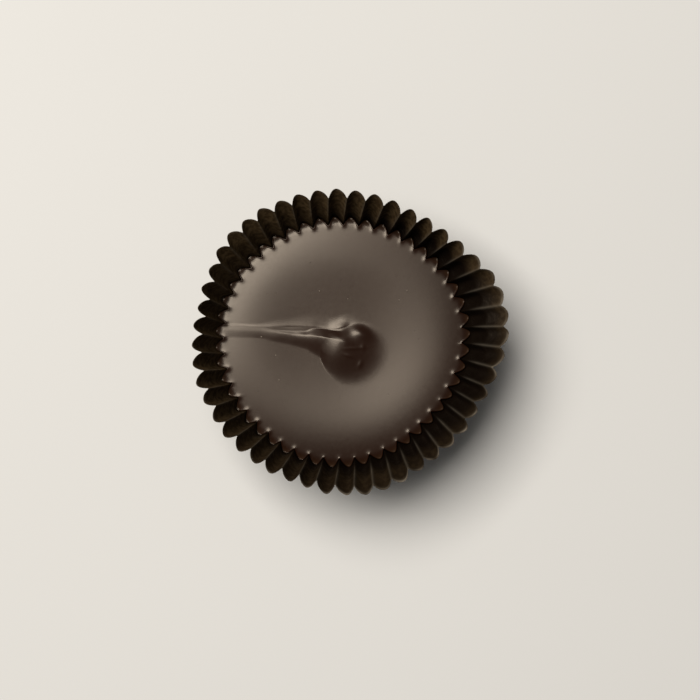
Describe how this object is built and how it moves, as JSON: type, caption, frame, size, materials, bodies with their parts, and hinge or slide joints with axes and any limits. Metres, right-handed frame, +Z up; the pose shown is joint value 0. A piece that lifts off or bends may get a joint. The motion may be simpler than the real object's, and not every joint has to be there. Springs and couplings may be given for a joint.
{
  "type": "peanut butter cup",
  "caption": "Round dark chocolate cup with a drawn-out swirl on its top, in a fluted brown paper case that stands up round it and is bent out on one side.",
  "frame": {"origin": "middle of the paper case's flat base, on the surface that it stands on", "axes": "+Z up out of the case, -Y the front, -X the side of the top that the swirl is drawn off to"},
  "size_m": [0.0556, 0.0536, 0.0227],
  "materials": {
    "paper_case": "thin dark brown greaseproof paper, slightly shiny, lighter along its cut edge and folds",
    "chocolate": "dark chocolate with a soft satin shine"
  },
  "bodies": {
    "root": {"paper_case": "paper_case", "chocolate": "chocolate"}
  },
  "joints": []
}
